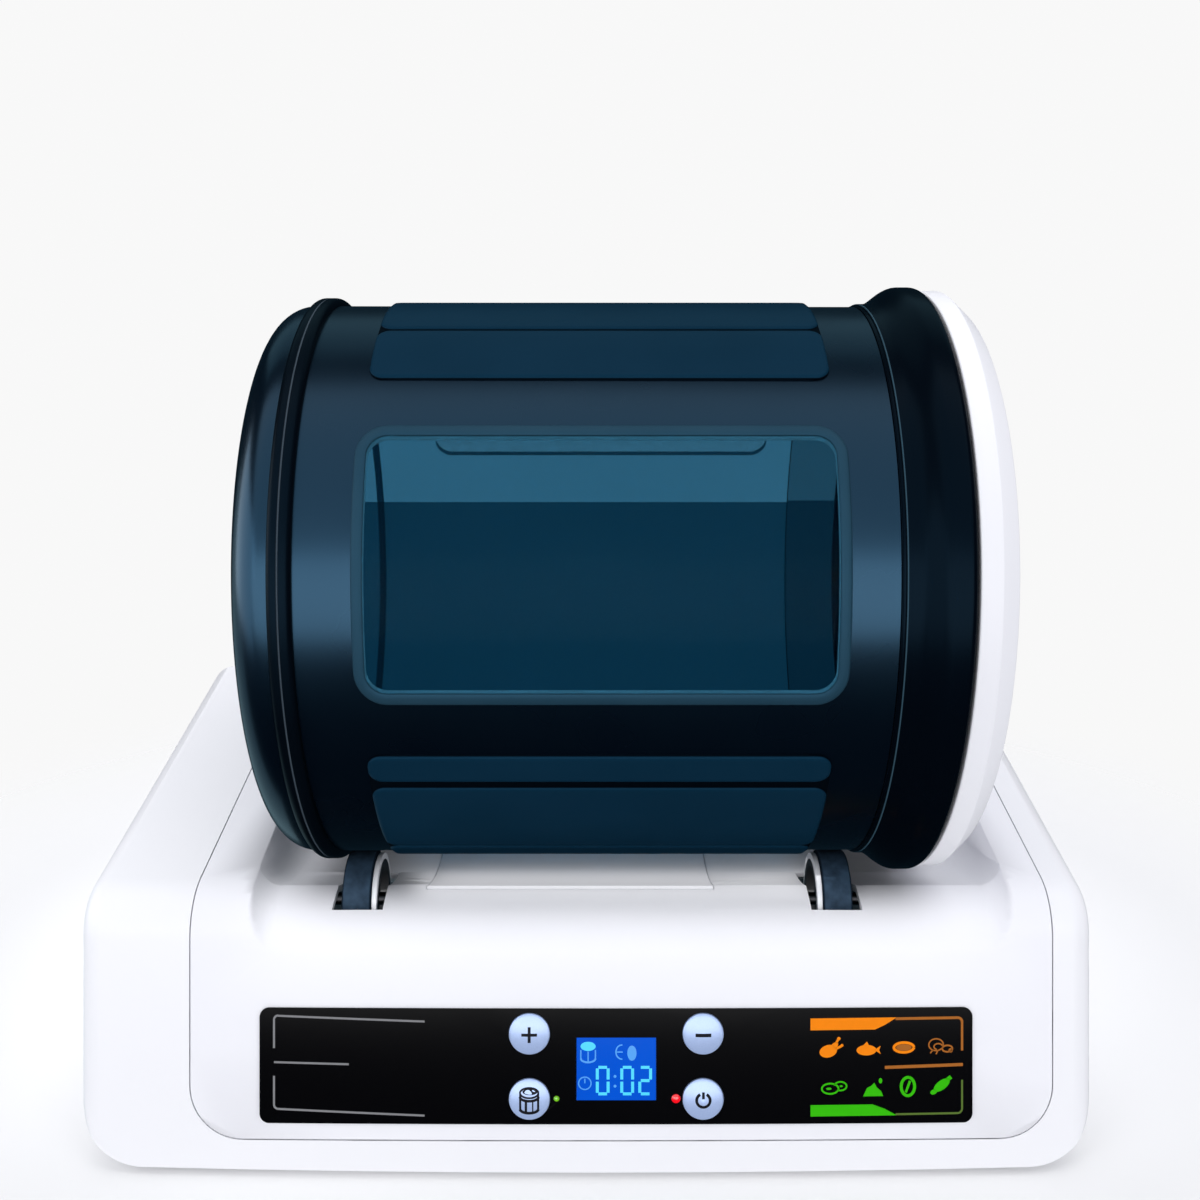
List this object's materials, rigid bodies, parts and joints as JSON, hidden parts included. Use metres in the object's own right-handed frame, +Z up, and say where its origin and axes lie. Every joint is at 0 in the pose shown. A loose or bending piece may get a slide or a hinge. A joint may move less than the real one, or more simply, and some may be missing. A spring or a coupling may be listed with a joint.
{
  "type": "vacuum marinator",
  "caption": "Countertop vacuum marinator: a smoked drum with a white lid lies on driven wheels in the cradle of a wide white base with a front control panel.",
  "frame": {"origin": "middle of the whole object's box, on the surface that its feet stand on", "axes": "+X along the drum axis towards the lid, -Y towards the front panel, +Z up"},
  "size_m": [0.38, 0.241, 0.3017],
  "materials": {
    "white_housing": "glossy white moulded plastic",
    "white_deck": "satin white moulded plastic",
    "white_lid": "glossy white moulded plastic",
    "grey_plastic": "grey moulded plastic",
    "black_gloss": "gloss black panel sheet",
    "smoked_drum": "smoked blue-black clear plastic",
    "black_collar": "gloss black",
    "slate_tyre": "matt slate rubber",
    "white_hub": "white wheel hub",
    "foot_rubber": "soft black rubber",
    "seal_rubber": "pale silicone",
    "steel": "turned steel",
    "frame_steel": "zinc-plated sheet",
    "bronze": "sintered bronze",
    "gear_plastic": "natural acetal",
    "motor_metal": "dark plated can",
    "board_green": "green board laminate",
    "display_blue": "blue lit window",
    "silver_button": "pearl silver",
    "green_lamp": "clear green",
    "red_lamp": "clear red",
    "tube_clear": "clear silicone tube"
  },
  "bodies": {
    "base": {"outer_shell": "white_housing", "deck_cover": "white_deck", "cradle_hatch": "white_deck", "chassis_plate": "grey_plastic", "pump_saddle": "grey_plastic", "rubber_feet": "foot_rubber", "cover_screws": "steel", "plate_screws": "steel", "frame_screws": "steel", "left_axle_frame": "frame_steel", "right_axle_frame": "frame_steel", "axle_bushes": "bronze", "gearmotor": "motor_metal", "vacuum_pump": "motor_metal", "vacuum_tube": "tube_clear", "vacuum_port": "grey_plastic", "power_inlet": "black_gloss", "power_board": "board_green", "front_panel": "black_gloss", "display_lens": "display_blue", "lcd_module": "grey_plastic", "control_board": "board_green", "board_screws": "steel", "tact_switches": "black_gloss", "tumble_lamp": "green_lamp", "power_lamp": "red_lamp"},
    "front_axle_set": {"front_left_hub": "white_hub", "front_left_tyre": "slate_tyre", "front_right_hub": "white_hub", "front_right_tyre": "slate_tyre", "front_axle": "steel", "front_axle_clips": "steel"},
    "rear_axle_set": {"rear_left_hub": "white_hub", "rear_left_tyre": "slate_tyre", "rear_right_hub": "white_hub", "rear_right_tyre": "slate_tyre", "rear_axle": "steel", "rear_axle_clips": "steel", "axle_gear": "gear_plastic"},
    "pinion_set": {"drive_pinion": "gear_plastic"},
    "drum": {"drum_barrel": "smoked_drum", "drum_end_cap": "smoked_drum", "mouth_collar": "black_collar"},
    "lid_set": {"lid": "white_lid", "lid_gasket": "seal_rubber"},
    "valve": {"valve_knob": "grey_plastic"},
    "time_up": {"time_up_button": "silver_button"},
    "tumble": {"tumble_button": "silver_button"},
    "time_down": {"time_down_button": "silver_button"},
    "power": {"power_button": "silver_button"}
  },
  "joints": [
    {"name": "drum_spin", "type": "hinge", "parent": "base", "child": "drum", "pos_m": [0, 0.0065, 0.1877], "axis": [1, 0, 0], "continuous": true},
    {"name": "front_axle_spin", "type": "hinge", "parent": "base", "child": "front_axle_set", "pos_m": [0, -0.054, 0.07683], "axis": [1, 0, 0], "continuous": true},
    {"name": "rear_axle_spin", "type": "hinge", "parent": "base", "child": "rear_axle_set", "pos_m": [0, 0.067, 0.07683], "axis": [1, 0, 0], "continuous": true},
    {"name": "pinion_spin", "type": "hinge", "parent": "base", "child": "pinion_set", "pos_m": [0.17, 0.067, 0.05283], "axis": [1, 0, 0], "continuous": true},
    {"name": "lid_slide", "type": "slide", "parent": "drum", "child": "lid_set", "axis": [1, 0, 0], "range_m": [0, 0.012]},
    {"name": "valve_pull", "type": "slide", "parent": "lid_set", "child": "valve", "axis": [1, 0, 0], "range_m": [0, 0.002]},
    {"name": "time_up_press", "type": "slide", "parent": "base", "child": "time_up", "axis": [0, 0.9143, -0.4051], "range_m": [0, 0.0008], "stiffness_N_per_m": 600},
    {"name": "tumble_press", "type": "slide", "parent": "base", "child": "tumble", "axis": [0, 0.9143, -0.4051], "range_m": [0, 0.0008], "stiffness_N_per_m": 600},
    {"name": "time_down_press", "type": "slide", "parent": "base", "child": "time_down", "axis": [0, 0.9143, -0.4051], "range_m": [0, 0.0008], "stiffness_N_per_m": 600},
    {"name": "power_press", "type": "slide", "parent": "base", "child": "power", "axis": [0, 0.9143, -0.4051], "range_m": [0, 0.0008], "stiffness_N_per_m": 600}
  ],
  "couplings": [
    {"joint": "front_axle_spin", "follows": "drum_spin", "ratio": -5.6316},
    {"joint": "rear_axle_spin", "follows": "drum_spin", "ratio": -5.6316},
    {"joint": "pinion_spin", "follows": "drum_spin", "ratio": 5.6316}
  ]
}
